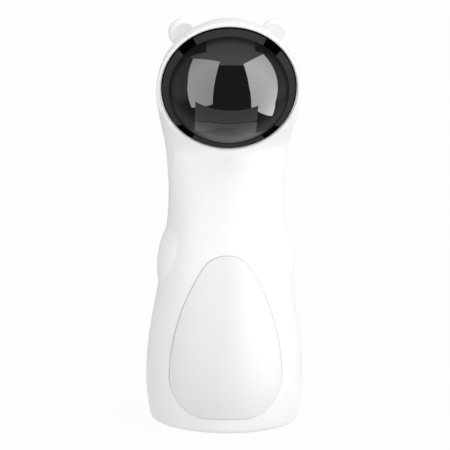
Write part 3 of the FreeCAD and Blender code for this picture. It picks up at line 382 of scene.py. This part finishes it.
# Painted reflection: the flange is painted a lighter grey where the softboxes, ceiling and table would
# reflect, and dark in the four gaps between them and at its outer rim.
reflection_gaps_and_rim = (reflection_gap + reach.rise(*OUTER_LINE)).rise(*LINE_EDGE)
flange_painted_reflection = smoked(wire, reflection_gaps_and_rim.tint((0.036, 0.036, 0.037, 1.0), grey(0.001)), 0.5, **DULL)
cap = wire.add("ShaderNodeMixShader", inputs={
    0: reach.rise(*EDGE_PART) * (low * HAZE_LOW + HAZE), 1: polished, 2: hazed_with_painted_reflection})
with_crease_shade = wire.add("ShaderNodeMixShader", inputs={
    0: reach.rise(*CREASE_SHADE_RING) * CREASE_SHADE_SHARE, 1: cap, 2: crease_shade_black})
wire.add("ShaderNodeMixShader", inputs={
    0: reach.rise(*FLANGE_START), 1: with_crease_shade, 2: flange_painted_reflection}).to(surface)
wear(dome_smoke, "dome_cover")

# ---- Mask and mechanism frame --------------------------------------------------------------------------
# Black mouldings behind the dome. The mask hides the shelf of the face. The frame is screwed to four posts
# of the front shell and holds the pan motor and the turntable's sleeve. The laser's cradle is of the same
# plastic.
black_plastic = moulded("black_plastic", grey(0.02), 0.5, 1200.0, 0.00003)
wear(black_plastic, "dome_mask", "mechanism_frame", "laser_cradle")

# ---- Gears ---------------------------------------------------------------------------------------------
# The turntable with its ring gear, the gear that tilts the laser and the pinions of both motors are moulded
# in natural acetal, which is a warm white.
wear(moulded("gear_acetal", (0.75, 0.72, 0.64, 1.0), 0.4, 1500.0, 0.00002), "pan_turntable", "tilt_gear",
     "pan_pinion", "tilt_pinion")

# ---- Motors, shafts, clips and screws ------------------------------------------------------------------
# Bright steel: the cans of both motors and their shafts, the clip that keeps the turntable on its sleeve, the
# cradle's pins, the door's hinge pin, the inlet socket and all the screws.
TARNISH_TONE = 0.8
SCRATCH_EDGE = (0.3, 0.6)
SCRATCH_ROUGH = 0.2


def metal(name, colour, rough, scratch):
    """Metal with fine scratches and a little tarnish."""
    material, wire, surface = new_material(name)
    streak = wire.add("ShaderNodeTexNoise", inputs={
        "Vector": object_place(wire), "Scale": scratch, "Detail": 4.0})
    wire.add("ShaderNodeBsdfPrincipled", inputs={
        "Base Color": streak.rise(*SCRATCH_EDGE).tint(darker(colour, TARNISH_TONE), colour), "Metallic": 1.0,
        "Roughness": streak * SCRATCH_ROUGH + (rough - SCRATCH_ROUGH / 2)}).to(surface)
    return material


zinc_steel = metal("zinc_steel", (0.62, 0.62, 0.63, 1.0), 0.32, 900.0)
wear(zinc_steel, "pan_motor", "tilt_motor", "pan_motor_shaft", "tilt_motor_shaft", "sleeve_clip",
     "cradle_pins", "door_hinge_pin", "usb_socket", "frame_screws", "board_screws", "base_screws",
     "case_screws")

# ---- Laser ---------------------------------------------------------------------------------------------
# A small module: a turned brass barrel with a clear lens behind the opening in its front, and a driver board
# in a slot in its back, which is green like the main one.
wear(metal("barrel_brass", (0.7, 0.5, 0.2, 1.0), 0.25, 800.0), "laser_barrel")
clear_resin = moulded("lamp_resin", (0.85, 0.9, 0.86, 1.0), 0.15, 600.0, 0.00001, IOR=1.5)
wear(clear_resin, "laser_lens")

# ---- Main board ----------------------------------------------------------------------------------------
# A green circuit board, screwed to four posts of the rear shell. It carries the controller, a capacitor in a
# dark sleeve and the switch behind the power button.
wear(moulded("board_green", (0.02, 0.16, 0.07, 1.0), 0.35, 500.0, 0.00003), "main_board",
     "laser_driver_board")
wear(black_plastic, "controller_chip", "switch_body", "switch_plunger")
sleeve_dark = moulded("cell_wrap", (0.1, 0.12, 0.14, 1.0), 0.35, 600.0, 0.00002)
wear(sleeve_dark, "filter_capacitor")

# ---- Button and status light ---------------------------------------------------------------------------
# A light grey round cap slides in a collar of the rear shell, and its flange keeps it from falling out. Above
# it, a clear guide carries the light of the lamp on the board to the outside.
wear(moulded("button_grey", (0.66, 0.67, 0.68, 1.0), 0.35, 900.0, 0.00003), "power_button")
wear(clear_resin, "status_lamp", "light_guide")

# ---- Base plate and battery door -----------------------------------------------------------------------
# White mouldings with a coarser grain than the shells. The plate closes the bottom, on four screws into
# bosses of both shells, and the door swings down from it on its hinge pin.
wear(moulded("base_white", (0.82, 0.82, 0.81, 1.0), 0.5, 700.0, 0.00006), "base_plate", "battery_door")

# ---- Cells and contacts --------------------------------------------------------------------------------
# Three cells in dark sleeves stand side by side in the well, with nickel-plated contacts above them and on
# the door below, where a coil spring bears on each outer cell and a stud on the middle one.
wear(sleeve_dark, "battery_cells")
wear(metal("contact_nickel", (0.72, 0.7, 0.65, 1.0), 0.28, 700.0), "top_contacts", "door_contacts",
     "battery_springs")

# ---- Feet ----------------------------------------------------------------------------------------------
# Four discs of dark rubber with a dull, grainy face, set in shallow round recesses in the underside of the
# base plate.
wear(moulded("foot_rubber", grey(0.08), 0.75, 900.0, 0.00008), "rubber_feet")
